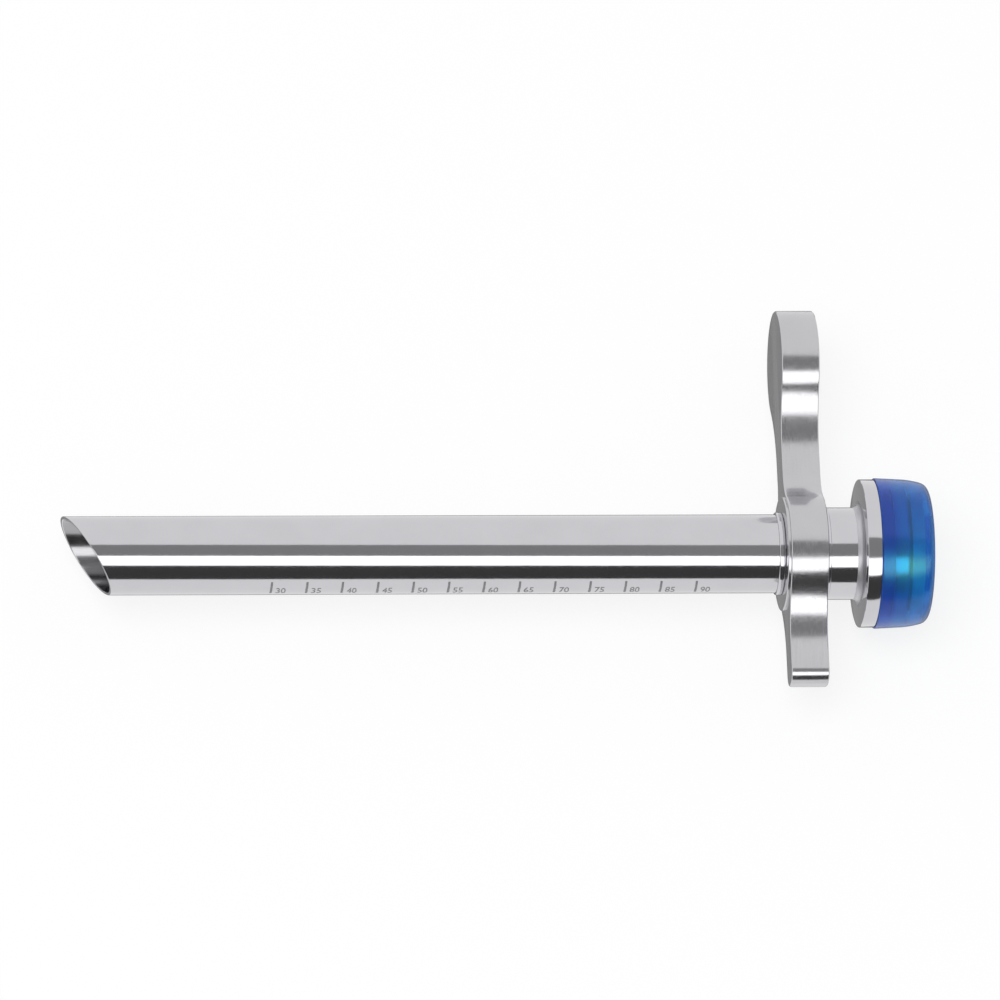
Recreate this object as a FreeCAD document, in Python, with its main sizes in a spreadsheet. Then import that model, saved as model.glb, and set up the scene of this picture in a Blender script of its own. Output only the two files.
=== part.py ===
import FreeCAD, Part
import math
import os
import re
import Sketcher

# Endoscope cannula: a bevelled steel tube with a finger plate, a flanged neck and a soft sealing cap.
# The tube lies along X with its tip towards -X and its cap towards +X. The long lug points to +Y.
# The origin is on the bore axis, at the front face of the boss on the finger plate.

doc = FreeCAD.newDocument("endoscope_cannula")
sheet = doc.addObject("Spreadsheet::Sheet", "Sizes")

sizes = {
    "tube_outer": 11.1,
    "tube_wall": 0.4,
    "tube_reach": 102.0,
    "bevel_angle": 31.5,
    "braze_gap": 0.05,
    "bead_length": 0.9,
    "bead_height": 0.3,
    "bead_chamfer": 0.22,
    "boss_height": 0.4,
    "boss_ledge": 0.4,
    "boss_chamfer": 0.2,
    "lug_thickness": 5.4,
    "lug_edge_chamfer": 0.3,
    "plate_hub_radius": 8.5,
    "long_lug_centre": 27.9,
    "long_lug_radius": 7.9,
    "long_waist": 2.8,
    "long_outer_blend": 13.8,
    "long_inner_blend": 5.0,
    "short_reach": 19.5,
    "short_waist": 2.4,
    "short_blend": 11.3,
    "short_corner": 1.9,
    "collar_length": 0.6,
    "collar_height": 0.15,
    "collar_chamfer": 0.12,
    "neck_radius": 6.5,
    "neck_length": 4.6,
    "neck_fillet": 0.9,
    "tube_seat": 2.6,
    "flange_radius": 10.45,
    "flange_thickness": 2.05,
    "flange_chamfer": 0.15,
    "spigot_radius": 9.2,
    "spigot_length": 3.9,
    "spigot_chamfer": 0.3,
    "groove_start": 0.4,
    "groove_width": 1.6,
    "groove_depth": 0.5,
    "chamber_radius": 7.9,
    "chamber_length": 1.35,
    "funnel_length": 4.4,
    "cap_fit": 0.05,
    "cap_seat_gap": 0.05,
    "cap_front_radius": 10.62,
    "cap_middle_radius": 10.36,
    "cap_rear_radius": 9.66,
    "cap_taper_length": 5.25,
    "cap_corner": 0.95,
    "mouth_lip_height": 0.3,
    "mouth_lip_radius": 6.6,
    "cap_rear_wall": 1.5,
    "cap_cavity_wall": 1.8,
    "mouth_radius": 5.4,
    "mouth_chamfer": 0.4,
    "rib_height": 0.5,
    "rib_width": 0.45,
    "seat_gap": 0.05,
    "seal_thickness": 0.8,
    "seal_lip_radius": 4.95,
    "seal_lip_depth": 0.9,
    "seal_lip_land": 0.2,
    "disc_thickness": 0.9,
    "window_half": 5.6,
    "corner_post": 0.65,
    "leaflet_thickness": 0.5,
    "leaflet_gap": 0.05,
    "slit_half_gap": 0.04,
}

for row, (alias, number) in enumerate(sizes.items(), start=1):
    sheet.set("A%d" % row, alias)
    sheet.set("B%d" % row, str(number))
    sheet.setAlias("B%d" % row, alias)
probe = doc.addObject("App::FeaturePython", "Probe")
probe.addProperty("App::PropertyFloat", "Reading")
doc.recompute()


def named(word):
    return "Sizes." + word if word in sizes else word


def formula(text):
    """Turn the size names in a sum into references to the sheet."""
    return "(" + re.sub("[a-z_]+", lambda word: named(word.group()), text) + ")"


def reading(text):
    """The number that a formula comes to."""
    probe.setExpression("Reading", text)
    doc.recompute()
    return probe.Reading


# Places along the axis and radii, each worked out from the piece that it fits.
tube_radius = formula("tube_outer / 2")
bore_radius = formula("tube_outer / 2 - tube_wall")
seat_radius = formula("tube_outer / 2 + braze_gap")
plate_rear = formula("boss_height + lug_thickness")
neck_front = plate_rear + " + " + formula("collar_length")
tube_end = neck_front + " + " + formula("tube_seat")
flange_front = neck_front + " + " + formula("neck_length")
flange_rear = flange_front + " + " + formula("flange_thickness")
spigot_rear = flange_rear + " + " + formula("spigot_length")
groove_front = flange_rear + " + " + formula("groove_start")
groove_rear = groove_front + " + " + formula("groove_width")
funnel_rear = spigot_rear + " - " + formula("chamber_length")
funnel_front = funnel_rear + " - " + formula("funnel_length")
cap_front = flange_rear + " + " + formula("cap_seat_gap")
cap_shoulder = spigot_rear + " + " + formula("cap_seat_gap * 2")
cap_grip = formula("spigot_radius + cap_fit")
disc_front = cap_shoulder + " + " + formula("rib_width")
seal_front = disc_front + " + " + formula("disc_thickness")
mouth_front = seal_front + " + " + formula("seal_thickness")
cap_rear = mouth_front + " + " + formula("cap_rear_wall")
cavity_radius = formula("cap_middle_radius - cap_cavity_wall")
insert_radius = formula("cap_middle_radius - cap_cavity_wall - seat_gap")


def new_body(label):
    body = doc.addObject("PartDesign::Body", label + "_body")
    body.Label = label
    return body


def new_sketch(body, name, role, offset=None):
    """Attach a sketch to one of the body's own planes, moved along its normal by a formula."""
    plane = [feature for feature in body.Origin.OriginFeatures if feature.Role == role][0]
    sketch = body.newObject("Sketcher::SketchObject", name)
    sketch.AttachmentSupport = [(plane, "")]
    sketch.MapMode = "FlatFace"
    if offset:
        sketch.setExpression("AttachmentOffset.Base.z", offset)
    return sketch


def bind(sketch, constraint, text):
    number = sketch.addConstraint(constraint)
    sketch.setExpression("Constraints[%d]" % number, text)


def polygon(sketch, corners):
    """Draw a closed outline whose corners are pairs of formulas in the sketch's two directions."""
    count = len(corners)
    rough = []
    for index in range(count):
        turn = 2 * math.pi * index / count
        rough.append(FreeCAD.Vector(10 + 5 * math.cos(turn), 10 + 5 * math.sin(turn), 0))
    for index in range(count):
        sketch.addGeometry(Part.LineSegment(rough[index], rough[(index + 1) % count]), False)
    for index in range(count):
        sketch.addConstraint(Sketcher.Constraint("Coincident", index, 2, (index + 1) % count, 1))
    for index, (across, up) in enumerate(corners):
        bind(sketch, Sketcher.Constraint("DistanceX", -1, 1, index, 1, rough[index].x), across)
        bind(sketch, Sketcher.Constraint("DistanceY", -1, 1, index, 1, rough[index].y), up)
    doc.recompute()


def circle(body, name, offset, radius):
    sketch = new_sketch(body, name, "YZ_Plane", offset)
    sketch.addGeometry(Part.Circle(FreeCAD.Vector(0, 0, 0), FreeCAD.Vector(0, 0, 1), 5.0), False)
    sketch.addConstraint(Sketcher.Constraint("Coincident", 0, 3, -1, 1))
    bind(sketch, Sketcher.Constraint("Radius", 0, 5.0), radius)
    doc.recompute()
    return sketch


def turn(body, name, corners):
    """Revolve an outline of places along the axis and radii about the bore axis."""
    sketch = new_sketch(body, name + "_profile", "XY_Plane")
    polygon(sketch, corners)
    feature = body.newObject("PartDesign::Revolution", name)
    feature.Profile = sketch
    feature.ReferenceAxis = (sketch, ["H_Axis"])
    feature.Angle = 360.0
    doc.recompute()


def pad(body, name, sketch, length):
    feature = body.newObject("PartDesign::Pad", name)
    feature.Profile = sketch
    feature.setExpression("Length", length)
    doc.recompute()
    return feature


def cut_through(body, name, sketch):
    """Cut the sketch's outline out of the body, both ways, and see that material has gone."""
    before = body.Shape.Volume
    feature = body.newObject("PartDesign::Pocket", name)
    feature.Profile = sketch
    feature.SideType = "Symmetric"
    feature.Type = "ThroughAll"
    doc.recompute()
    if body.Shape.Volume >= before:
        raise ValueError(name + " cut nothing")


def edge_names(body, name, test):
    """The names of the edges that pass the test on the body as it is so far."""
    names = ["Edge%d" % index for index, edge in enumerate(body.Tip.Shape.Edges, start=1) if test(edge)]
    if not names:
        raise ValueError(name + " found no edge")
    return names


def round_edges(body, name, test, radius):
    names = edge_names(body, name, test)
    base = body.Tip
    feature = body.newObject("PartDesign::Fillet", name)
    feature.Base = (base, names)
    feature.setExpression("Radius", radius)
    doc.recompute()


def chamfer_edges(body, name, test, size):
    names = edge_names(body, name, test)
    base = body.Tip
    feature = body.newObject("PartDesign::Chamfer", name)
    feature.Base = (base, names)
    feature.setExpression("Size", size)
    doc.recompute()


def ring_edge(place, radius):
    """A test for the round edge at a place along the axis."""
    at = reading(place)
    size = reading(radius)

    def test(edge):
        if edge.Curve.TypeId != "Part::GeomCircle":
            return False
        return abs(edge.Curve.Center.x - at) < 0.001 and abs(edge.Curve.Radius - size) < 0.001

    return test


def make_shaft_tube():
    """Thin tube, cut obliquely at the tip so that its long side lies on the side of the long lug."""
    body = new_body("shaft_tube")
    tip = formula("0 - tube_reach")
    turn(body, "tube_wall_turned", [
        (tip, bore_radius), (tube_end, bore_radius), (tube_end, tube_radius), (tip, tube_radius),
    ])
    run = formula("tube_outer * tan(bevel_angle * 1 deg)")
    sketch = new_sketch(body, "bevel_outline", "XY_Plane")
    polygon(sketch, [
        (tip + " - " + run, formula("tube_outer * 1.5")),
        (tip + " - " + run, formula("tube_outer * -1.5")),
        (tip + " + " + run + " * 2", formula("tube_outer * -1.5")),
    ])
    cut_through(body, "bevel", sketch)
    return body


def make_front_bead():
    """Narrow ring on the tube with broken edges, against the boss of the plate."""
    body = new_body("front_bead")
    front = formula("0 - bead_length")
    outer = formula("tube_outer / 2 + bead_height")
    turn(body, "bead_turned", [(front, seat_radius), ("0", seat_radius), ("0", outer), (front, outer)])
    chamfer_edges(body, "bead_front_edge", ring_edge(front, outer), formula("bead_chamfer"))
    chamfer_edges(body, "bead_rear_edge", ring_edge("0", outer), formula("bead_chamfer"))
    return body


def plate_outline(sketch):
    """Half of the plate's outline: long lug, waist, hub and short lug, in arcs that run into each other."""
    hub = sizes["plate_hub_radius"]
    lug = sizes["long_lug_radius"]
    centre = sizes["long_lug_centre"]
    waist = sizes["long_waist"]
    outer = sizes["long_outer_blend"]
    inner = sizes["long_inner_blend"]
    reach = sizes["short_reach"]
    short = sizes["short_waist"]
    blend = sizes["short_blend"]
    corner = sizes["short_corner"]
    outer_at = centre - math.sqrt((lug + outer) ** 2 - (waist + outer) ** 2)
    inner_at = math.sqrt((hub + inner) ** 2 - (waist + inner) ** 2)
    blend_at = -math.sqrt((hub + blend) ** 2 - (short + blend) ** 2)

    def point(x, y):
        return FreeCAD.Vector(x, y, 0)

    def line(start, end):
        return sketch.addGeometry(Part.LineSegment(start, end), False)

    def arc(middle, radius, start, end):
        ring = Part.Circle(middle, FreeCAD.Vector(0, 0, 1), radius)
        return sketch.addGeometry(Part.ArcOfCircle(ring, start, end), False)

    down = -math.pi / 2
    lug_turn = math.atan2(waist + outer, outer_at - centre)
    inner_turn = math.atan2(waist + inner, inner_at)
    blend_turn = math.atan2(short + blend, blend_at)
    base = line(point(-reach, 0), point(centre + lug, 0))
    lug_arc = arc(point(centre, 0), lug, 0, lug_turn)
    outer_arc = arc(point(outer_at, waist + outer), outer, down, lug_turn - math.pi)
    waist_line = line(point(outer_at, waist), point(inner_at, waist))
    inner_arc = arc(point(inner_at, waist + inner), inner, inner_turn - math.pi, down)
    hub_arc = arc(point(0, 0), hub, inner_turn, blend_turn)
    blend_arc = arc(point(blend_at, short + blend), blend, down, blend_turn - math.pi)
    short_line = line(point(blend_at, short), point(corner - reach, short))
    corner_arc = arc(point(corner - reach, short - corner), corner, math.pi / 2, math.pi)
    end_line = line(point(-reach, short - corner), point(-reach, 0))

    joins = [
        (lug_arc, 2, outer_arc, 2), (outer_arc, 1, waist_line, 1), (waist_line, 2, inner_arc, 2),
        (inner_arc, 1, hub_arc, 1), (hub_arc, 2, blend_arc, 2), (blend_arc, 1, short_line, 1),
        (short_line, 2, corner_arc, 1), (corner_arc, 2, end_line, 1),
    ]
    for first, first_end, second, second_end in joins:
        sketch.addConstraint(Sketcher.Constraint("Tangent", first, first_end, second, second_end))
    sketch.addConstraint(Sketcher.Constraint("Coincident", end_line, 2, base, 1))
    sketch.addConstraint(Sketcher.Constraint("Coincident", base, 2, lug_arc, 1))
    sketch.addConstraint(Sketcher.Constraint("PointOnObject", base, 1, -1))
    sketch.addConstraint(Sketcher.Constraint("PointOnObject", base, 2, -1))
    sketch.addConstraint(Sketcher.Constraint("PointOnObject", lug_arc, 3, -1))
    sketch.addConstraint(Sketcher.Constraint("Coincident", hub_arc, 3, -1, 1))
    sketch.addConstraint(Sketcher.Constraint("Horizontal", waist_line))
    sketch.addConstraint(Sketcher.Constraint("Horizontal", short_line))
    sketch.addConstraint(Sketcher.Constraint("Vertical", end_line))
    radii = {
        lug_arc: "long_lug_radius", outer_arc: "long_outer_blend", inner_arc: "long_inner_blend",
        hub_arc: "plate_hub_radius", blend_arc: "short_blend", corner_arc: "short_corner",
    }
    for index, name in radii.items():
        bind(sketch, Sketcher.Constraint("Radius", index, sizes[name]), formula(name))
    bind(sketch, Sketcher.Constraint("DistanceX", -1, 1, lug_arc, 3, centre), formula("long_lug_centre"))
    bind(sketch, Sketcher.Constraint("DistanceX", -1, 1, base, 1, -reach), formula("0 - short_reach"))
    bind(sketch, Sketcher.Constraint("DistanceY", -1, 1, waist_line, 1, waist), formula("long_waist"))
    bind(sketch, Sketcher.Constraint("DistanceY", -1, 1, short_line, 1, short), formula("short_waist"))
    doc.recompute()


def make_finger_plate():
    """Flat plate with a long round lug, a short lug and a low boss round the tube."""
    body = new_body("finger_plate")
    half = new_sketch(body, "plate_half", "YZ_Plane", formula("boss_height"))
    plate_outline(half)
    lugs = pad(body, "lugs", half, formula("lug_thickness"))
    mirror = body.newObject("PartDesign::Mirrored", "both_halves")
    mirror.Originals = [lugs]
    flat = [feature for feature in body.Origin.OriginFeatures if feature.Role == "XY_Plane"][0]
    mirror.MirrorPlane = (flat, [""])
    body.Tip = mirror
    doc.recompute()

    def outline_edge(edge):
        return all(abs(vertex.X - edge.Vertexes[0].X) < 0.001 for vertex in edge.Vertexes)

    chamfer_edges(body, "lug_edges", outline_edge, formula("lug_edge_chamfer"))
    boss_radius = formula("plate_hub_radius - boss_ledge")
    pad(body, "boss", circle(body, "boss_circle", "0", boss_radius), formula("boss_height * 2"))
    chamfer_edges(body, "boss_edge", ring_edge("0", boss_radius), formula("boss_chamfer"))
    cut_through(body, "tube_hole", circle(body, "tube_hole_circle", "0", seat_radius))
    return body


def make_rear_collar():
    """Thin ring between the plate and the neck."""
    body = new_body("rear_collar")
    outer = formula("neck_radius + collar_height")
    turn(body, "collar_turned", [
        (plate_rear, seat_radius), (neck_front, seat_radius), (neck_front, outer), (plate_rear, outer),
    ])
    for name, place in (("collar_front_edge", plate_rear), ("collar_rear_edge", neck_front)):
        chamfer_edges(body, name, ring_edge(place, outer), formula("collar_chamfer"))
    return body


def make_hub_body():
    """Neck, flange and spigot turned in one piece, with a chamber for the open leaflets and a funnel."""
    body = new_body("hub_body")
    neck = formula("neck_radius")
    flange = formula("flange_radius")
    spigot = formula("spigot_radius")
    groove = formula("spigot_radius - groove_depth")
    chamber = formula("chamber_radius")
    turn(body, "hub_turned", [
        (neck_front, seat_radius), (tube_end, seat_radius), (tube_end, bore_radius),
        (funnel_front, bore_radius), (funnel_rear, chamber), (spigot_rear, chamber), (spigot_rear, spigot),
        (groove_rear, spigot), (groove_rear, groove), (groove_front, groove), (groove_front, spigot),
        (flange_rear, spigot), (flange_rear, flange), (flange_front, flange), (flange_front, neck),
        (neck_front, neck),
    ])
    round_edges(body, "neck_root", ring_edge(flange_front, neck), formula("neck_fillet"))
    for name, place in (("flange_front_edge", flange_front), ("flange_rear_edge", flange_rear)):
        chamfer_edges(body, name, ring_edge(place, flange), formula("flange_chamfer"))
    chamfer_edges(body, "spigot_edge", ring_edge(spigot_rear, spigot), formula("spigot_chamfer"))
    return body


def make_seal_cap():
    """Soft cap: a skirt that grips the spigot, a rib that stops on it, a seat for the valve, a mouth."""
    body = new_body("seal_cap")
    taper_end = cap_front + " + " + formula("cap_taper_length")
    rear_radius = formula("cap_rear_radius")
    rib_radius = cavity_radius + " - " + formula("rib_height")
    crown = cap_rear + " + " + formula("mouth_lip_height")
    lip = formula("mouth_lip_radius")
    mouth = formula("mouth_radius")
    turn(body, "cap_turned", [
        (cap_front, cap_grip), (cap_shoulder, cap_grip), (cap_shoulder, rib_radius),
        (disc_front, rib_radius), (disc_front, cavity_radius), (mouth_front, cavity_radius),
        (mouth_front, mouth),
        (crown, mouth), (crown, lip), (cap_rear, lip), (cap_rear, rear_radius),
        (taper_end, formula("cap_middle_radius")), (cap_front, formula("cap_front_radius")),
    ])
    round_edges(body, "rear_corner", ring_edge(cap_rear, rear_radius), formula("cap_corner"))
    chamfer_edges(body, "mouth_edge", ring_edge(crown, mouth), formula("mouth_chamfer"))
    return body


def make_scope_seal():
    """Lip ring between the mouth and the valve, thinned towards the lip that wipes the endoscope."""
    body = new_body("scope_seal")
    lip = formula("seal_lip_radius")
    root = formula("seal_lip_radius + seal_lip_depth")
    middle = seal_front + " + " + formula("seal_thickness / 2")
    turn(body, "seal_turned", [
        (seal_front, insert_radius), (seal_front, root),
        (middle + " - " + formula("seal_lip_land / 2"), lip),
        (middle + " + " + formula("seal_lip_land / 2"), lip),
        (mouth_front, root), (mouth_front, insert_radius),
    ])
    return body


def make_valve_disc():
    """Soft disc with a window that the four leaflets close, stiffened by a post in each corner."""
    body = new_body("valve_disc")
    rim = circle(body, "disc_circle", disc_front, insert_radius)
    pad(body, "disc_pad", rim, formula("disc_thickness"))
    window = new_sketch(body, "window_outline", "YZ_Plane", disc_front)
    side = formula("window_half")
    post = formula("window_half - corner_post")
    polygon(window, [
        (side, post), (post, post), (post, side),
        ("0 - " + post, side), ("0 - " + post, post), ("0 - " + side, post),
        ("0 - " + side, "0 - " + post), ("0 - " + post, "0 - " + post), ("0 - " + post, "0 - " + side),
        (post, "0 - " + side), (post, "0 - " + post), (side, "0 - " + post),
    ])
    cut_through(body, "window", window)
    return body


def make_leaflet(name, quarter):
    """One of four flaps between the crossed slits, hinged along a side of the window."""
    body = new_body(name)
    sketch = new_sketch(body, name + "_outline", "YZ_Plane", disc_front)
    root = formula("window_half - leaflet_gap")
    half = formula("window_half - corner_post - leaflet_gap")
    apex = formula("slit_half_gap * sqrt(2)")
    shoulder = half + " + " + apex
    polygon(sketch, [
        (root, half), (shoulder, half), (apex, "0"), (shoulder, "0 - " + half), (root, "0 - " + half),
    ])
    pad(body, name + "_pad", sketch, formula("leaflet_thickness"))
    axis = FreeCAD.Vector(1, 0, 0)
    body.Placement = FreeCAD.Placement(FreeCAD.Vector(0, 0, 0), FreeCAD.Rotation(axis, 90 * quarter))
    doc.recompute()
    return body


pieces = [
    make_shaft_tube(), make_front_bead(), make_finger_plate(), make_rear_collar(), make_hub_body(),
    make_seal_cap(), make_scope_seal(), make_valve_disc(),
]
for quarter, side in enumerate(("right", "top", "left", "bottom")):
    pieces.append(make_leaflet("leaflet_" + side, quarter))

for item in doc.Objects:
    if "Invalid" in item.State or "Error" in item.State:
        raise ValueError(item.Label + " failed")
os.makedirs("parts", exist_ok=True)
for piece in pieces:
    shape = piece.Shape
    if shape.isNull() or not shape.isValid() or len(shape.Solids) != 1:
        raise ValueError(piece.Label + " is not one valid solid")
for piece in pieces:
    piece.Shape.exportStep("parts/" + piece.Label + ".step")
    box = piece.Shape.BoundBox
    print(piece.Label, round(piece.Shape.Volume, 2), round(box.XMin, 3), round(box.XMax, 3))
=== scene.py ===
from math import atan2, hypot, pi, radians, sqrt

import bmesh
import bpy
from mathutils import Matrix, Vector


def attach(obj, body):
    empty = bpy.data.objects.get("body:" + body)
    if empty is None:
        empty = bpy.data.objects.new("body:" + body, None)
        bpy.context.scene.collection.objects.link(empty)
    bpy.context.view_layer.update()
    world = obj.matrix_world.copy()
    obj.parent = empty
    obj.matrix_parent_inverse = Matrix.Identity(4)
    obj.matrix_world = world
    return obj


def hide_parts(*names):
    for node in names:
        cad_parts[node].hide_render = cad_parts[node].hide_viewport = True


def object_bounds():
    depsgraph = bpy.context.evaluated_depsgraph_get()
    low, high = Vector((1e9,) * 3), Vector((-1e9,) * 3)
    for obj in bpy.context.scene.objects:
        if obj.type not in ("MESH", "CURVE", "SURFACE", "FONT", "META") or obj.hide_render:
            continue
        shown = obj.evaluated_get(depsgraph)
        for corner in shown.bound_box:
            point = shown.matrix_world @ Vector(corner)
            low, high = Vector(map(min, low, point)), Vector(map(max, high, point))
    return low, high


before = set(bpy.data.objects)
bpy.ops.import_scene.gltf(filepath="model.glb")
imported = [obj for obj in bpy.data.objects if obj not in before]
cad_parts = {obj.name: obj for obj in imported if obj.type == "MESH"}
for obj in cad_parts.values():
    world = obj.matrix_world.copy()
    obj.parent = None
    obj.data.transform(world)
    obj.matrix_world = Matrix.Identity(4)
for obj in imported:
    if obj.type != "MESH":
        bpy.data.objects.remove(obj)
cadBounds = [list(corner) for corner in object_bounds()]
print("frame loaded")

mm = 0.001    # the dictionaries of the pieces are in millimetres, those of the stage in metres

shaping = {
    "turnSteps": 192,       # segments round the bore axis
    "roundSteps": 4,        # segments of a round, where the piece doesn't say
    "smoothAngle": 28.0,    # degrees between two faces under which their edge is shaded smooth
    "ringReach": 1e-6,      # metres by which a vertex may miss the ring that is asked for
    "weld": 1e-7,           # metres within which vertices are one
    "cut": 1e-8,            # metres within which a vertex lies on a cutting plane
    "margin": 0.01,         # millimetres added where faces are chosen by their radius
}

# The camera's place, axes and lens were fitted to points of the photo.
view = {
    "lens": 562.4,
    "sensor": 36.0,
    "clipEnd": 20.0,
    "place": (-0.30012, -0.69769, 2.06514),
    "back": (-0.11858, -0.32112, 0.93958),    # from the part towards the camera
    "up": (0.00263, 0.94616, 0.3237),
}

studio = {
    "floorSize": 6.0,
    "floorGrey": 0.72,
    "floorKeep": 0.3,        # share of the lit floor that is still seen, so that its shadow stays
    "floorGlow": 0.8,
    "worldAmbient": 0.55,
    "cardRadius": 0.7,
    "cardSteps": 12,
    "lampPlace": (-0.35, -0.1, 1.25),
    "lampSize": 0.9,
    "lampPower": 7.0,
}

# Reflection cards round the bore axis: angles in degrees from the camera's direction, positive
# towards the top of the picture.
cards = {
    "softBox": {"start": -7.0, "end": -34.0, "glow": 2.2, "length": 3.0},
    "darkFlag": {"start": -34.0, "end": -76.5, "glow": 0.06, "length": 3.0},
    "greyCard": {"start": 25.0, "end": -7.0, "glow": 0.3, "length": 3.0},
    "rearCard": {"start": 158.0, "end": 202.0, "glow": 0.33, "length": 3.0},
}

# The same soft box as the silicone shows it: brighter, and seen only by rays that come out of it.
throughCard = {
    "start": -7.0,
    "end": -34.0,
    "glow": 18.0,
    "length": 1.0,
    "colour": (0.0, 1.0, 0.24),
    "radius": 0.69,
}


def meshObject(name, mesh):
    data = bpy.data.meshes.new(name)
    mesh.to_mesh(data)
    mesh.free()
    item = bpy.data.objects.new(name, data)
    bpy.context.scene.collection.objects.link(item)
    return item


def newMaterial(name):
    material = bpy.data.materials.new(name)
    material.use_nodes = True
    nodes = material.node_tree.nodes
    nodes.clear()
    out = nodes.new("ShaderNodeOutputMaterial")
    return material, nodes, material.node_tree.links, out


def addCamera():
    data = bpy.data.cameras.new("camera")
    data.lens = view["lens"]
    data.sensor_width = view["sensor"]
    data.clip_end = view["clipEnd"]
    camera = bpy.data.objects.new("camera", data)
    bpy.context.scene.collection.objects.link(camera)
    back = Vector(view["back"]).normalized()
    up = Vector(view["up"])
    up = (up - back * back.dot(up)).normalized()
    right = up.cross(back)
    turn = Matrix((right, up, back)).transposed().to_4x4()
    camera.matrix_world = Matrix.Translation(view["place"]) @ turn
    bpy.context.scene.camera = camera


def shownRay(nodes, links):
    # 1 for camera, glossy and transmission rays, so metal and silicone see the pale background too
    path = nodes.new("ShaderNodeLightPath")
    shown = path.outputs["Is Camera Ray"]
    for kind in ("Is Glossy Ray", "Is Transmission Ray"):
        either = nodes.new("ShaderNodeMath")
        either.operation = "MAXIMUM"
        links.new(shown, either.inputs[0])
        links.new(path.outputs[kind], either.inputs[1])
        shown = either.outputs[0]
    return shown


def addWorld():
    world = bpy.data.worlds.new("studioWorld")
    bpy.context.scene.world = world
    world.use_nodes = True
    nodes = world.node_tree.nodes
    links = world.node_tree.links
    nodes.clear()
    ambient = nodes.new("ShaderNodeBackground")
    ambient.inputs["Color"].default_value = (1.0, 1.0, 1.0, 1.0)
    ambient.inputs["Strength"].default_value = studio["worldAmbient"]
    white = nodes.new("ShaderNodeBackground")
    white.inputs["Color"].default_value = (1.0, 1.0, 1.0, 1.0)
    white.inputs["Strength"].default_value = 1.0
    mix = nodes.new("ShaderNodeMixShader")
    out = nodes.new("ShaderNodeOutputWorld")
    links.new(shownRay(nodes, links), mix.inputs[0])
    links.new(ambient.outputs[0], mix.inputs[1])
    links.new(white.outputs[0], mix.inputs[2])
    links.new(mix.outputs[0], out.inputs["Surface"])


def addFloor():
    mesh = bmesh.new()
    bmesh.ops.create_grid(mesh, x_segments=1, y_segments=1, size=studio["floorSize"] / 2)
    bmesh.ops.translate(mesh, vec=(0, 0, cadBounds[0][2]), verts=mesh.verts)
    floor = meshObject("floor", mesh)
    material, nodes, links, out = newMaterial("paleFloor")
    grey = studio["floorGrey"]
    kept = grey * studio["floorKeep"]
    lit = nodes.new("ShaderNodeBsdfDiffuse")
    lit.inputs["Color"].default_value = (grey, grey, grey, 1.0)
    dim = nodes.new("ShaderNodeBsdfDiffuse")
    dim.inputs["Color"].default_value = (kept, kept, kept, 1.0)
    glow = nodes.new("ShaderNodeEmission")
    glow.inputs["Strength"].default_value = studio["floorGlow"]
    shown = nodes.new("ShaderNodeAddShader")
    mix = nodes.new("ShaderNodeMixShader")
    links.new(dim.outputs[0], shown.inputs[0])
    links.new(glow.outputs[0], shown.inputs[1])
    links.new(shownRay(nodes, links), mix.inputs[0])
    links.new(lit.outputs[0], mix.inputs[1])
    links.new(shown.outputs[0], mix.inputs[2])
    links.new(mix.outputs[0], out.inputs["Surface"])
    floor.data.materials.append(material)
    floor.visible_glossy = False


def addCard(name, card, through=False):
    back = Vector((0.0, view["back"][1], view["back"][2])).normalized()
    up = Vector((0.0, view["up"][1], view["up"][2])).normalized()
    axis = back.cross(up)    # a turn about it goes from the camera's direction to the picture's top
    mesh = bmesh.new()
    half = card["length"] / 2
    reach = back * card.get("radius", studio["cardRadius"])
    ends = [mesh.verts.new(reach + Vector((side * half, 0, 0))) for side in (-1, 1)]
    edge = mesh.edges.new(ends)
    turn = Matrix.Rotation(radians(card["start"]), 3, axis)
    bmesh.ops.rotate(mesh, cent=(0, 0, 0), matrix=turn, verts=ends)
    bmesh.ops.spin(mesh, geom=ends + [edge], cent=(0, 0, 0), axis=axis, dvec=(0, 0, 0),
                   angle=radians(card["end"] - card["start"]), steps=studio["cardSteps"],
                   use_merge=False, use_normal_flip=False, use_duplicate=False)
    item = meshObject(name, mesh)
    material, nodes, links, out = newMaterial(name + "Face")
    glow = nodes.new("ShaderNodeEmission")
    glow.inputs["Strength"].default_value = card["glow"]
    glow.inputs["Color"].default_value = list(card.get("colour", (1.0, 1.0, 1.0))) + [1.0]
    links.new(glow.outputs[0], out.inputs["Surface"])
    item.data.materials.append(material)
    item.visible_camera = False
    item.visible_diffuse = False
    item.visible_glossy = not through
    item.visible_shadow = False


def addLamp():
    data = bpy.data.lights.new("keyLamp", "AREA")
    data.shape = "DISK"
    data.size = studio["lampSize"]
    data.energy = studio["lampPower"]
    lamp = bpy.data.objects.new("keyLamp", data)
    bpy.context.scene.collection.objects.link(lamp)
    place = Vector(studio["lampPlace"])
    turn = place.to_track_quat("Z", "Y").to_matrix().to_4x4()
    lamp.matrix_world = Matrix.Translation(place) @ turn
    lamp.visible_camera = False
    lamp.visible_glossy = False
    lamp.visible_transmission = False


bpy.context.scene.view_settings.view_transform = "Standard"
addCamera()
addWorld()
addFloor()
for cardName, cardSizes in cards.items():
    addCard(cardName, cardSizes)
addCard("throughCard", throughCard, through=True)
addLamp()
print("camera, floor, cards and lamps are in place")

texture = {
    "detail": 4.0,
    "noiseLow": 0.3,     # the noise seldom leaves the range between these two
    "noiseHigh": 0.7,
}

steel = {
    "colour": (0.59, 0.585, 0.61),
    "cloudScale": 180.0,
    "cloudDarker": 0.96,
    "scratchHeight": 0.000002,
}

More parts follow.
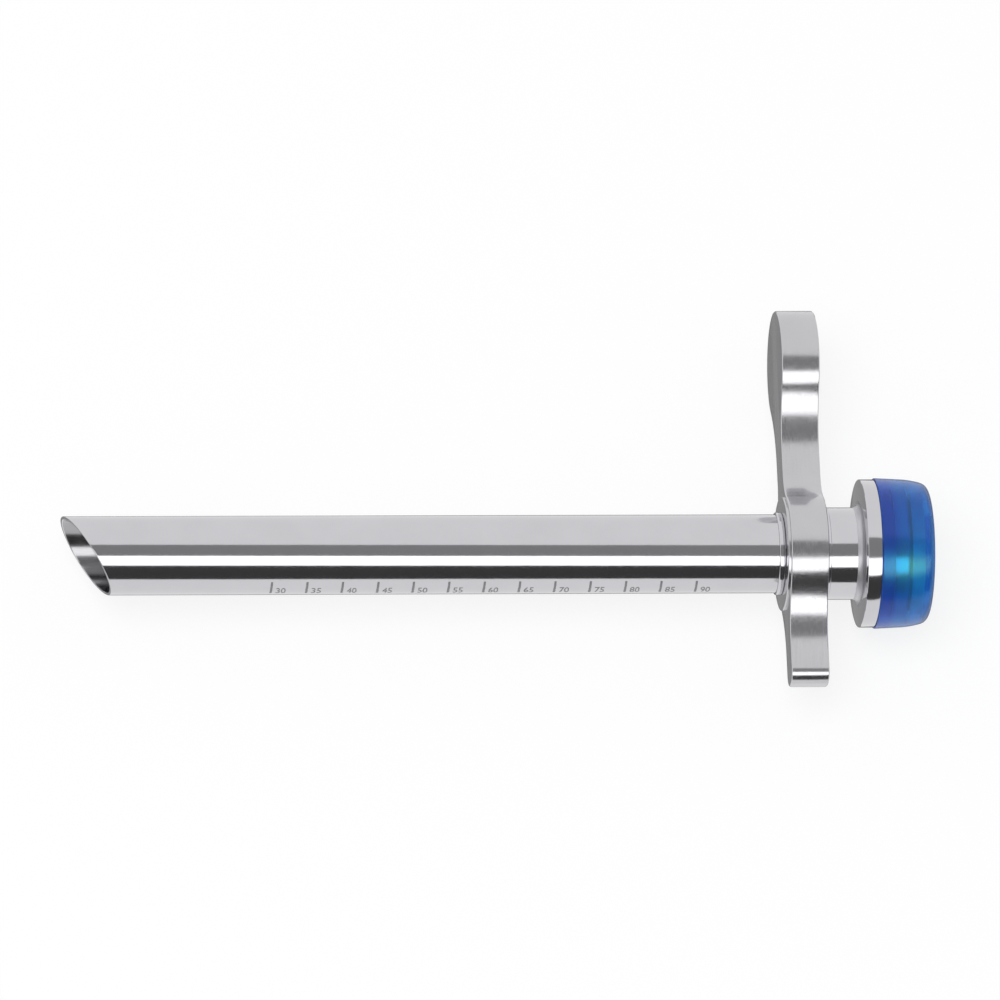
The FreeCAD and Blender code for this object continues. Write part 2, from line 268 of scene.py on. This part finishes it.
# The scratches are noise, stretched the way that the surface was worked.
steelFinishes = {
    "polished": {
        "roughness": (0.08, 0.13),
        "stretch": (0.06, 1.0, 1.0),
        "scale": 9000.0,
        "bump": 0.15,
    },
    "satin": {
        "colour": (0.545, 0.54, 0.56),
        "roughness": (0.14, 0.26),
        "stretch": (1.0, 0.05, 1.0),
        "scale": 6000.0,
        "bump": 0.45,
    },
    "bore": {
        "colour": (0.39, 0.387, 0.4),
        "roughness": (0.15, 0.24),
        "stretch": (0.06, 1.0, 1.0),
        "scale": 9000.0,
        "bump": 0.2,
    },
    "matt": {
        "roughness": (0.4, 0.5),
        "stretch": (0.3, 1.0, 1.0),
        "scale": 6000.0,
        "bump": 0.3,
    },
}

blueSilicone = {
    "skirtPaintedShade": (0.05, 0.18, 0.78),     # painted shade: darker and more violet where the metal hub lies under the silicone
    # the crown's tone is painted light: lighter and more cyan where light passes through the
    # silicone
    "crown": (0.038, 0.285, 0.82),
    "skirtEnd": 14.4,    # millimetres along the bore axis, as the next one
    "crownStart": 16.0,
    "roughness": 0.22,
    "ior": 1.41,
    "transmission": 0.8,
    "tint": (0.35, 0.92, 0.97),
    "density": 300.0,
    "cloudScale": 500.0,
    "cloudDarker": 0.93,
    "grainScale": 4000.0,
    "grainHeight": 0.000004,
    "grainBump": 0.3,
}

clearSilicone = {
    "colour": (0.80, 0.83, 0.84),
    "roughness": 0.55,
    "ior": 1.41,
    "subsurface": 0.5,
    "subsurfaceRadius": (0.001, 0.0012, 0.0014),
    "cloudScale": 600.0,
    "cloudDarker": 0.94,
    "grainScale": 5000.0,
    "grainHeight": 0.000004,
    "grainBump": 0.3,
}

laserMark = {
    "colour": (0.30, 0.30, 0.31),
    "metallic": 0.7,
    "roughness": 0.5,
    "grainScale": 9000.0,
    "grainDarker": 0.75,
}


def addBsdf(nodes, links, out, values):
    bsdf = nodes.new("ShaderNodeBsdfPrincipled")
    for socket, value in values.items():
        bsdf.inputs[socket].default_value = value
    links.new(bsdf.outputs[0], out.inputs["Surface"])
    return bsdf


def addNoise(nodes, links, scale, stretch=(1.0, 1.0, 1.0)):
    place = nodes.new("ShaderNodeTexCoord")
    mapping = nodes.new("ShaderNodeMapping")
    mapping.inputs["Scale"].default_value = stretch
    noise = nodes.new("ShaderNodeTexNoise")
    noise.inputs["Scale"].default_value = scale
    noise.inputs["Detail"].default_value = texture["detail"]
    links.new(place.outputs["Object"], mapping.inputs["Vector"])
    links.new(mapping.outputs[0], noise.inputs["Vector"])
    return noise.outputs[0]


def spread(nodes, links, source, low, high):
    # stretch a noise value over the range from low to high
    ramp = nodes.new("ShaderNodeMapRange")
    ramp.inputs["From Min"].default_value = texture["noiseLow"]
    ramp.inputs["From Max"].default_value = texture["noiseHigh"]
    ramp.inputs["To Min"].default_value = low
    ramp.inputs["To Max"].default_value = high
    links.new(source, ramp.inputs["Value"])
    return ramp.outputs[0]


def shadedColour(nodes, links, source, colour, darker):
    # the colour, mixed by the noise with a darker tone of itself: inputs 6 and 7 and output 2 are
    # the colour sockets of the mix node
    mix = nodes.new("ShaderNodeMix")
    mix.data_type = "RGBA"
    mix.inputs[6].default_value = [part * darker for part in colour] + [1.0]
    mix.inputs[7].default_value = list(colour) + [1.0]
    links.new(spread(nodes, links, source, 0.0, 1.0), mix.inputs[0])
    return mix.outputs[2]


def addBump(nodes, links, bsdf, source, distance, strength):
    bump = nodes.new("ShaderNodeBump")
    bump.inputs["Strength"].default_value = strength
    bump.inputs["Distance"].default_value = distance
    links.new(source, bump.inputs["Height"])
    links.new(bump.outputs[0], bsdf.inputs["Normal"])


def addGrain(nodes, links, bsdf, silicone):
    grain = addNoise(nodes, links, silicone["grainScale"])
    addBump(nodes, links, bsdf, grain, silicone["grainHeight"], silicone["grainBump"])


def steelMaterial(name, finish):
    material, nodes, links, out = newMaterial(name)
    bsdf = addBsdf(nodes, links, out, {"Metallic": 1.0})
    scratches = addNoise(nodes, links, finish["scale"], finish["stretch"])
    clouds = addNoise(nodes, links, steel["cloudScale"])
    colour = finish.get("colour", steel["colour"])
    shaded = shadedColour(nodes, links, clouds, colour, steel["cloudDarker"])
    links.new(shaded, bsdf.inputs["Base Color"])
    links.new(spread(nodes, links, scratches, *finish["roughness"]), bsdf.inputs["Roughness"])
    addBump(nodes, links, bsdf, scratches, steel["scratchHeight"], finish["bump"])
    return material


def blueMaterial():
    material, nodes, links, out = newMaterial("blueSilicone")
    bsdf = addBsdf(nodes, links, out, {
        "Roughness": blueSilicone["roughness"],
        "IOR": blueSilicone["ior"],
        "Transmission Weight": blueSilicone["transmission"],
    })
    # painted shade and light: the base colour blends along the bore axis from the shaded skirt tone
    # to the lighter crown tone
    place = nodes.new("ShaderNodeTexCoord")
    along = nodes.new("ShaderNodeSeparateXYZ")
    blend = nodes.new("ShaderNodeMapRange")
    blend.interpolation_type = "SMOOTHSTEP"
    blend.inputs["From Min"].default_value = blueSilicone["skirtEnd"] * mm
    blend.inputs["From Max"].default_value = blueSilicone["crownStart"] * mm
    colour = nodes.new("ShaderNodeMix")
    colour.data_type = "RGBA"
    links.new(place.outputs["Object"], along.inputs[0])
    links.new(along.outputs["X"], blend.inputs["Value"])
    links.new(blend.outputs[0], colour.inputs[0])
    clouds = addNoise(nodes, links, blueSilicone["cloudScale"])
    for tone, socket in (("skirtPaintedShade", 6), ("crown", 7)):
        shaded = shadedColour(nodes, links, clouds, blueSilicone[tone], blueSilicone["cloudDarker"])
        links.new(shaded, colour.inputs[socket])
    links.new(colour.outputs[2], bsdf.inputs["Base Color"])
    addGrain(nodes, links, bsdf, blueSilicone)
    fog = nodes.new("ShaderNodeVolumeAbsorption")
    fog.inputs["Color"].default_value = list(blueSilicone["tint"]) + [1.0]
    fog.inputs["Density"].default_value = blueSilicone["density"]
    links.new(fog.outputs[0], out.inputs["Volume"])
    return material


def clearMaterial():
    material, nodes, links, out = newMaterial("clearSilicone")
    bsdf = addBsdf(nodes, links, out, {
        "Roughness": clearSilicone["roughness"],
        "IOR": clearSilicone["ior"],
        "Subsurface Weight": clearSilicone["subsurface"],
        "Subsurface Radius": clearSilicone["subsurfaceRadius"],
    })
    clouds = addNoise(nodes, links, clearSilicone["cloudScale"])
    colour = clearSilicone["colour"]
    shaded = shadedColour(nodes, links, clouds, colour, clearSilicone["cloudDarker"])
    links.new(shaded, bsdf.inputs["Base Color"])
    addGrain(nodes, links, bsdf, clearSilicone)
    return material


def markMaterial():
    material, nodes, links, out = newMaterial("laserMark")
    bsdf = addBsdf(nodes, links, out, {
        "Metallic": laserMark["metallic"],
        "Roughness": laserMark["roughness"],
    })
    grain = addNoise(nodes, links, laserMark["grainScale"])
    shaded = shadedColour(nodes, links, grain, laserMark["colour"], laserMark["grainDarker"])
    links.new(shaded, bsdf.inputs["Base Color"])
    return material


materials = {name: steelMaterial(name + "Steel", finish) for name, finish in steelFinishes.items()}
materials["blue"] = blueMaterial()
materials["clear"] = clearMaterial()
materials["mark"] = markMaterial()
print("finishes are made")


def turned(outline):
    # spin a closed outline of (place along the axis, radius) in millimetres
    mesh = bmesh.new()
    corners = [mesh.verts.new((x * mm, 0.0, radius * mm)) for x, radius in outline]
    pairs = [(corners[index - 1], corners[index]) for index in range(len(corners))]
    sides = [mesh.edges.new(pair) for pair in pairs]
    bmesh.ops.spin(mesh, geom=corners + sides, cent=(0, 0, 0), axis=(1, 0, 0), dvec=(0, 0, 0),
                   angle=2 * pi, steps=shaping["turnSteps"],
                   use_merge=True, use_normal_flip=False, use_duplicate=False)
    bmesh.ops.remove_doubles(mesh, verts=mesh.verts, dist=shaping["weld"])
    bmesh.ops.recalc_face_normals(mesh, faces=mesh.faces)
    return mesh


def radiusOf(place):
    return hypot(place.y, place.z)


def roundEdges(mesh, edges, width, segments=shaping["roundSteps"]):
    bmesh.ops.bevel(mesh, geom=edges, offset=width * mm, offset_type="OFFSET", affect="EDGES",
                    segments=segments, profile=0.5, material=-1, clamp_overlap=True)


def roundRing(mesh, x, radius, width, segments=shaping["roundSteps"]):
    def onRing(vert):
        missedAlong = abs(vert.co.x - x * mm)
        missedAcross = abs(radiusOf(vert.co) - radius * mm)
        return max(missedAlong, missedAcross) < shaping["ringReach"]

    ring = [edge for edge in mesh.edges if all(onRing(vert) for vert in edge.verts)]
    if not ring:
        raise ValueError("no ring at %.2f, %.2f" % (x, radius))
    roundEdges(mesh, ring, width, segments)


def thicken(mesh, depth):
    # draw every face out along the bore axis
    made = bmesh.ops.extrude_face_region(mesh, geom=mesh.faces[:])
    moved = [item for item in made["geom"] if isinstance(item, bmesh.types.BMVert)]
    bmesh.ops.translate(mesh, vec=(depth * mm, 0, 0), verts=moved)


def finishPiece(mesh, name, material, body, nodes=()):
    bmesh.ops.recalc_face_normals(mesh, faces=mesh.faces)
    for face in mesh.faces:
        face.smooth = True
    limit = radians(shaping["smoothAngle"])
    for edge in mesh.edges:
        edge.smooth = len(edge.link_faces) == 2 and edge.calc_face_angle(0.0) < limit
    piece = meshObject(name, mesh)
    piece.data.materials.append(materials[material])
    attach(piece, body)
    if nodes:
        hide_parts(*nodes)
    return piece


tube = {
    "outer": 5.55,
    "bore": 5.15,
    "tip": -101.65,
    "end": 9.0,
    "spare": 1.0,        # length beyond the tip, cut off by the slant
    "tipAngle": 31.25,
    "rimAngle": 20.0,    # degrees between faces above which an edge of the cut is rounded
    "rimRound": 0.09,
    "rimSteps": 3,
}


def makeShaftTube():
    start = tube["tip"] - tube["spare"]
    mesh = turned([
        (start, tube["bore"]), (tube["end"], tube["bore"]),
        (tube["end"], tube["outer"]), (start, tube["outer"]),
    ])
    slant = Matrix.Rotation(radians(tube["tipAngle"]), 3, "Z") @ Vector((-1.0, 0.0, 0.0))
    longSide = Vector((tube["tip"], tube["outer"], 0.0)) * mm
    everything = mesh.verts[:] + mesh.edges[:] + mesh.faces[:]
    bmesh.ops.bisect_plane(mesh, geom=everything, dist=shaping["cut"],
                           plane_co=longSide, plane_no=slant, clear_outer=True)
    cutEdges = [edge for edge in mesh.edges if edge.is_boundary]
    bmesh.ops.bridge_loops(mesh, edges=cutEdges)
    bmesh.ops.recalc_face_normals(mesh, faces=mesh.faces)

    def onCut(edge):
        return all(abs((vert.co - longSide).dot(slant)) < shaping["weld"] for vert in edge.verts)

    limit = radians(tube["rimAngle"])
    rims = [edge for edge in mesh.edges if onCut(edge) and edge.calc_face_angle(0.0) > limit]
    roundEdges(mesh, rims, tube["rimRound"], tube["rimSteps"])
    boreReach = (tube["bore"] + shaping["margin"]) * mm
    for face in mesh.faces:
        if all(radiusOf(vert.co) < boreReach for vert in face.verts):
            face.material_index = 1
    piece = finishPiece(mesh, "shaftTube", "polished", "cannula", ["shaft_tube"])
    piece.data.materials.append(materials["bore"])


bead = {"front": -0.9, "rear": 0.0, "inner": 5.6, "outer": 5.85, "round": 0.22}
collar = {"front": 5.8, "rear": 6.4, "inner": 5.6, "outer": 6.65, "round": 0.14}


def makeRing(ring, name, node):
    mesh = turned([
        (ring["front"], ring["inner"]), (ring["rear"], ring["inner"]),
        (ring["rear"], ring["outer"]), (ring["front"], ring["outer"]),
    ])
    roundRing(mesh, ring["front"], ring["outer"], ring["round"])
    roundRing(mesh, ring["rear"], ring["outer"], ring["round"])
    finishPiece(mesh, name, "polished", "cannula", [node])


# The plate's outline is a chain of tangent arcs, worked out from these radii.
plate = {
    "front": 0.4,
    "rear": 5.8,
    "hub": 8.5,
    "lug": 7.9,
    "lugCentre": 27.9,
    "longWaist": 2.8,
    "outerBlend": 13.8,
    "innerBlend": 5.0,
    "shortReach": 19.5,
    "shortWaist": 2.4,
    "shortBlend": 11.3,
    "shortCorner": 1.9,
    "hole": 5.6,
    "holeMargin": 0.1,      # edges nearer to the hole than this aren't rounded
    "rimAngle": 45.0,
    "edgeRound": 0.3,
    "bossFront": 0.0,
    "bossRadius": 8.1,
    "bossRound": 0.2,
    "roundSteps": 3,
    "lugSteps": 64,
    "blendSteps": 24,
    "hubSteps": 40,
    "cornerSteps": 16,
    "holeSteps": 64,
}


def addArc(mesh, start, centre, angle, steps):
    # spin one vertex round the centre, in the plane across the bore, and return where it ends
    middle = Vector((plate["front"], centre[0], centre[1])) * mm
    made = bmesh.ops.spin(mesh, geom=[start], cent=middle, axis=(1, 0, 0), dvec=(0, 0, 0),
                          angle=angle, steps=steps,
                          use_merge=False, use_normal_flip=False, use_duplicate=False)
    return [item for item in made["geom_last"] if isinstance(item, bmesh.types.BMVert)][0]


def makeFingerPlate():
    hub = plate["hub"]
    lug = plate["lug"]
    centre = plate["lugCentre"]
    waist = plate["longWaist"]
    outer = plate["outerBlend"]
    inner = plate["innerBlend"]
    reach = plate["shortReach"]
    short = plate["shortWaist"]
    blend = plate["shortBlend"]
    corner = plate["shortCorner"]
    hole = plate["hole"]
    blendSteps = plate["blendSteps"]
    outerAt = centre - sqrt((lug + outer) ** 2 - (waist + outer) ** 2)
    innerAt = sqrt((hub + inner) ** 2 - (waist + inner) ** 2)
    blendAt = -sqrt((hub + blend) ** 2 - (short + blend) ** 2)
    lugTurn = atan2(waist + outer, outerAt - centre)
    innerTurn = atan2(waist + inner, innerAt)
    blendTurn = atan2(short + blend, blendAt)

    mesh = bmesh.new()

    def addCorner(y, z):
        return mesh.verts.new(Vector((plate["front"], y, z)) * mm)

    def addLine(start, y, z):
        end = addCorner(y, z)
        mesh.edges.new((start, end))
        return end

    # the upper half of the outline, from the long lug's end to the short one's, then the hole
    first = addCorner(centre + lug, 0.0)
    last = addArc(mesh, first, (centre, 0.0), lugTurn, plate["lugSteps"])
    last = addArc(mesh, last, (outerAt, waist + outer), pi / 2 - lugTurn, blendSteps)
    last = addLine(last, innerAt, waist)
    last = addArc(mesh, last, (innerAt, waist + inner), innerTurn - pi / 2, blendSteps)
    last = addArc(mesh, last, (0.0, 0.0), blendTurn - innerTurn, plate["hubSteps"])
    last = addArc(mesh, last, (blendAt, short + blend), pi / 2 - blendTurn, blendSteps)
    last = addLine(last, corner - reach, short)
    last = addArc(mesh, last, (corner - reach, short - corner), pi / 2, plate["cornerSteps"])
    last = addLine(last, -reach, 0.0)
    last = addLine(last, -hole, 0.0)
    last = addArc(mesh, last, (0.0, 0.0), -pi, plate["holeSteps"])
    mesh.edges.new((last, first))
    bmesh.ops.remove_doubles(mesh, verts=mesh.verts, dist=shaping["weld"])
    bmesh.ops.edgeloop_fill(mesh, edges=mesh.edges)
    thicken(mesh, plate["rear"] - plate["front"])

    # the other half is its mirror image
    def onMirror(face):
        return all(abs(vert.co.z) < shaping["weld"] for vert in face.verts)

    seam = [face for face in mesh.faces if onMirror(face)]
    bmesh.ops.delete(mesh, geom=seam, context="FACES")
    everything = mesh.verts[:] + mesh.edges[:] + mesh.faces[:]
    bmesh.ops.mirror(mesh, geom=everything, axis="Z", merge_dist=shaping["weld"])
    bmesh.ops.remove_doubles(mesh, verts=mesh.verts, dist=shaping["weld"])
    bmesh.ops.recalc_face_normals(mesh, faces=mesh.faces)

    holeReach = (hole + plate["holeMargin"]) * mm
    limit = radians(plate["rimAngle"])

    def outlineEdge(edge):
        flat = abs(edge.verts[0].co.x - edge.verts[1].co.x) < shaping["weld"]
        inHole = all(radiusOf(vert.co) < holeReach for vert in edge.verts)
        return flat and not inHole and edge.calc_face_angle(0.0) > limit

    rims = [edge for edge in mesh.edges if outlineEdge(edge)]
    roundEdges(mesh, rims, plate["edgeRound"], plate["roundSteps"])
    boss = turned([
        (plate["bossFront"], hole), (plate["front"], hole),
        (plate["front"], plate["bossRadius"]), (plate["bossFront"], plate["bossRadius"]),
    ])
    roundRing(boss, plate["bossFront"], plate["bossRadius"], plate["bossRound"],
              plate["roundSteps"])
    bossData = bpy.data.meshes.new("boss")
    boss.to_mesh(bossData)
    boss.free()
    mesh.from_mesh(bossData)
    bpy.data.meshes.remove(bossData)
    finishPiece(mesh, "fingerPlate", "satin", "cannula", ["finger_plate"])


hub = {
    "front": 6.4,
    "tubeEnd": 9.0,
    "flangeFront": 11.0,
    "flangeRear": 13.05,
    "spigotRear": 16.95,
    "funnelFront": 11.2,
    "funnelRear": 15.6,
    "grooveFront": 13.45,
    "grooveRear": 15.05,
    "seat": 5.6,
    "bore": 5.15,
    "chamber": 7.9,
    "neck": 6.5,
    "flange": 10.45,
    "spigot": 9.2,
    "groove": 8.7,
    "neckFillet": 0.9,
    "filletSteps": 8,
    "flangeRound": 0.15,
    "spigotRound": 0.3,
    "roundSteps": 3,
}


def makeHubBody():
    mesh = turned([
        (hub["front"], hub["seat"]), (hub["tubeEnd"], hub["seat"]), (hub["tubeEnd"], hub["bore"]),
        (hub["funnelFront"], hub["bore"]), (hub["funnelRear"], hub["chamber"]),
        (hub["spigotRear"], hub["chamber"]),
        (hub["spigotRear"], hub["spigot"]), (hub["grooveRear"], hub["spigot"]),
        (hub["grooveRear"], hub["groove"]), (hub["grooveFront"], hub["groove"]),
        (hub["grooveFront"], hub["spigot"]), (hub["flangeRear"], hub["spigot"]),
        (hub["flangeRear"], hub["flange"]), (hub["flangeFront"], hub["flange"]),
        (hub["flangeFront"], hub["neck"]), (hub["front"], hub["neck"]),
    ])
    roundRing(mesh, hub["flangeFront"], hub["neck"], hub["neckFillet"], hub["filletSteps"])
    roundRing(mesh, hub["flangeFront"], hub["flange"], hub["flangeRound"], hub["roundSteps"])
    roundRing(mesh, hub["flangeRear"], hub["flange"], hub["flangeRound"], hub["roundSteps"])
    roundRing(mesh, hub["spigotRear"], hub["spigot"], hub["spigotRound"], hub["roundSteps"])
    for face in mesh.faces:
        middle = face.calc_center_median()
        x = middle.x / mm
        radius = radiusOf(middle) / mm
        inWall = hub["chamber"] < radius < hub["spigot"]
        inGroove = inWall and hub["flangeRear"] < x < hub["grooveRear"]
        inside = x > hub["tubeEnd"] and radius < hub["chamber"] + shaping["margin"]
        if inGroove or inside:
            face.material_index = 1
    piece = finishPiece(mesh, "hubBody", "polished", "cannula", ["hub_body"])
    piece.data.materials.append(materials["matt"])


cap = {
    "front": 13.1,
    "shoulder": 17.05,
    "ribRear": 17.5,
    "taperEnd": 18.35,
    "mouthFront": 19.2,
    "rear": 20.7,
    "crown": 21.0,
    "grip": 9.25,
    "cavity": 8.56,
    "rib": 8.06,
    "mouth": 5.4,
    "lip": 6.6,
    "rearRadius": 9.66,
    "middleRadius": 10.36,
    "frontRadius": 10.62,
    "corner": 0.95,
    "cornerSteps": 12,
    "taperBlend": 1.3,
    "blendSteps": 8,
    "mouthRound": 0.4,
    "lipRound": 0.12,
    "frontRound": 0.2,
}


def makeSealCap():
    mesh = turned([
        (cap["front"], cap["grip"]), (cap["shoulder"], cap["grip"]),
        (cap["shoulder"], cap["rib"]), (cap["ribRear"], cap["rib"]),
        (cap["ribRear"], cap["cavity"]), (cap["mouthFront"], cap["cavity"]),
        (cap["mouthFront"], cap["mouth"]), (cap["crown"], cap["mouth"]),
        (cap["crown"], cap["lip"]), (cap["rear"], cap["lip"]),
        (cap["rear"], cap["rearRadius"]), (cap["taperEnd"], cap["middleRadius"]),
        (cap["front"], cap["frontRadius"]),
    ])
    roundRing(mesh, cap["rear"], cap["rearRadius"], cap["corner"], cap["cornerSteps"])
    roundRing(mesh, cap["taperEnd"], cap["middleRadius"], cap["taperBlend"], cap["blendSteps"])
    roundRing(mesh, cap["crown"], cap["mouth"], cap["mouthRound"])
    roundRing(mesh, cap["crown"], cap["lip"], cap["lipRound"])
    roundRing(mesh, cap["rear"], cap["lip"], cap["lipRound"])
    roundRing(mesh, cap["front"], cap["frontRadius"], cap["frontRound"])
    finishPiece(mesh, "sealCap", "blue", "cap", ["seal_cap"])


seal = {"front": 18.4, "rear": 19.2, "outer": 8.51, "root": 5.85, "lip": 4.95, "land": 0.2}


def makeScopeSeal():
    middle = (seal["front"] + seal["rear"]) / 2
    mesh = turned([
        (seal["front"], seal["outer"]), (seal["front"], seal["root"]),
        (middle - seal["land"] / 2, seal["lip"]), (middle + seal["land"] / 2, seal["lip"]),
        (seal["rear"], seal["root"]), (seal["rear"], seal["outer"]),
    ])
    finishPiece(mesh, "scopeSeal", "clear", "cap", ["scope_seal"])


# The valve is a disc with a square window, and four flaps that fill it.
disc = {"front": 17.5, "rear": 18.4, "outer": 8.51, "window": 5.6, "post": 0.65, "steps": 96}
flap = {
    "root": 5.55,
    "half": 4.9,
    "apex": 0.0566,
    "thickness": 0.5,
    "edgeRound": 0.06,
    "roundSteps": 2,
}


def makeValveDisc():
    mesh = bmesh.new()
    start = mesh.verts.new((disc["front"] * mm, 0.0, disc["outer"] * mm))
    bmesh.ops.spin(mesh, geom=[start], cent=(0, 0, 0), axis=(1, 0, 0), dvec=(0, 0, 0),
                   angle=2 * pi, steps=disc["steps"],
                   use_merge=True, use_normal_flip=False, use_duplicate=False)
    side = disc["window"]
    post = disc["window"] - disc["post"]
    corners = []
    for y, z in ((1, 1), (-1, 1), (-1, -1), (1, -1)):
        notch = [(side * y, post * z), (post * y, post * z), (post * y, side * z)]
        if y * z < 0:
            notch.reverse()
        for across, up in notch:
            corners.append(mesh.verts.new(Vector((disc["front"], across, up)) * mm))
    for index in range(len(corners)):
        mesh.edges.new((corners[index - 1], corners[index]))
    bmesh.ops.triangle_fill(mesh, use_beauty=True, edges=mesh.edges[:])
    thicken(mesh, disc["rear"] - disc["front"])
    finishPiece(mesh, "valveDisc", "clear", "cap", ["valve_disc"])


def makeFlap(name, body, node, quarter):
    root = flap["root"]
    half = flap["half"]
    apex = flap["apex"]
    mesh = bmesh.new()
    outline = [
        (root, half), (half + apex, half), (apex, 0.0), (half + apex, -half), (root, -half),
    ]
    corners = [mesh.verts.new(Vector((disc["front"], y, z)) * mm) for y, z in outline]
    mesh.faces.new(corners)
    thicken(mesh, flap["thickness"])
    turn = Matrix.Rotation(quarter * pi / 2, 3, "X")
    bmesh.ops.rotate(mesh, cent=(0, 0, 0), matrix=turn, verts=mesh.verts)
    bmesh.ops.recalc_face_normals(mesh, faces=mesh.faces)
    roundEdges(mesh, mesh.edges[:], flap["edgeRound"], flap["roundSteps"])
    finishPiece(mesh, name, "clear", body, [node])


# The depth scale: a mark and a number every 5 mm.
scale = {
    "first": -72.45,
    "step": 5.0,
    "count": 13,
    "firstNumber": 30,
    "numberStep": 5,
    "tickWidth": 0.3,
    "tickFrom": 61.5,        # degrees round the tube from +Z towards -Y
    "tickTo": 90.8,
    "tickStrips": 12,
    "numberFrom": 74.7,
    "numberTo": 90.8,
    "numberStrips": 14,
    "numberGap": 0.7,
    "numberWidth": 1.35,
    "curveSteps": 3,
    "proud": 0.012,
}


def wrapOnTube(mesh, middle):
    # bend a flat mesh, drawn in x and y, round the tube at an angle from +Z towards -Y
    radius = (tube["outer"] + scale["proud"]) * mm
    for vert in mesh.verts:
        angle = radians(middle) - vert.co.y / radius
        turn = Matrix.Rotation(angle, 3, "X")
        vert.co = turn @ Vector((vert.co.x, 0.0, radius))


def cutStrips(mesh, low, high, strips):
    # cut the flat mesh into strips, so that it bends smoothly
    for index in range(1, strips):
        y = low + (high - low) * index / strips
        everything = mesh.verts[:] + mesh.edges[:] + mesh.faces[:]
        bmesh.ops.bisect_plane(mesh, geom=everything, dist=shaping["cut"],
                               plane_co=(0, y, 0), plane_no=(0, 1, 0))


def makeTicks():
    mesh = bmesh.new()
    half = radians(scale["tickTo"] - scale["tickFrom"]) * tube["outer"] / 2
    size = (scale["tickWidth"] * mm, 2 * half * mm, 1)    # of a mark, made from a unit square
    for index in range(scale["count"]):
        square = bmesh.ops.create_grid(mesh, x_segments=1, y_segments=1, size=0.5)["verts"]
        place = scale["first"] + scale["step"] * index
        bmesh.ops.scale(mesh, vec=size, verts=square)
        bmesh.ops.translate(mesh, vec=(place * mm, 0, 0), verts=square)
    cutStrips(mesh, -half * mm, half * mm, scale["tickStrips"])
    wrapOnTube(mesh, (scale["tickFrom"] + scale["tickTo"]) / 2)
    finishPiece(mesh, "depthTicks", "mark", "cannula")


def makeNumbers():
    mesh = bmesh.new()
    height = radians(scale["numberTo"] - scale["numberFrom"]) * tube["outer"]
    for index in range(scale["count"]):
        curve = bpy.data.curves.new("number", "FONT")
        curve.body = str(scale["firstNumber"] + scale["numberStep"] * index)
        curve.resolution_u = scale["curveSteps"]
        text = bpy.data.objects.new("number", curve)
        bpy.context.scene.collection.objects.link(text)
        drawn = bpy.data.meshes.new_from_object(text)
        part = bmesh.new()
        part.from_mesh(drawn)
        xs = [vert.co.x for vert in part.verts]
        ys = [vert.co.y for vert in part.verts]
        middle = (min(ys) + max(ys)) / 2
        bmesh.ops.translate(part, vec=(-min(xs), -middle, 0), verts=part.verts)
        wide = scale["numberWidth"] * mm / (max(xs) - min(xs))
        tall = height * mm / (max(ys) - min(ys))
        bmesh.ops.scale(part, vec=(wide, tall, 1), verts=part.verts)
        place = scale["first"] + scale["step"] * index + scale["numberGap"]
        bmesh.ops.translate(part, vec=(place * mm, 0, 0), verts=part.verts)
        part.to_mesh(drawn)
        part.free()
        mesh.from_mesh(drawn)
        bpy.data.objects.remove(text)
        bpy.data.meshes.remove(drawn)
        bpy.data.curves.remove(curve)
    cutStrips(mesh, -height * mm / 2, height * mm / 2, scale["numberStrips"])
    wrapOnTube(mesh, (scale["numberFrom"] + scale["numberTo"]) / 2)
    finishPiece(mesh, "depthNumbers", "mark", "cannula")


makeShaftTube()
makeRing(bead, "frontBead", "front_bead")
makeFingerPlate()
makeRing(collar, "rearCollar", "rear_collar")
makeHubBody()
print("metal pieces are made")
makeSealCap()
makeScopeSeal()
makeValveDisc()
# the flaps stand at +Y, +Z, -Y and -Z, a quarter turn round the bore axis apart
for quarter, side in enumerate(("right", "top", "left", "bottom")):
    makeFlap("flap" + side.capitalize(), "flap_" + side, "leaflet_" + side, quarter)
print("cap, seal and valve are made")
makeTicks()
makeNumbers()
print("depth scale is made")
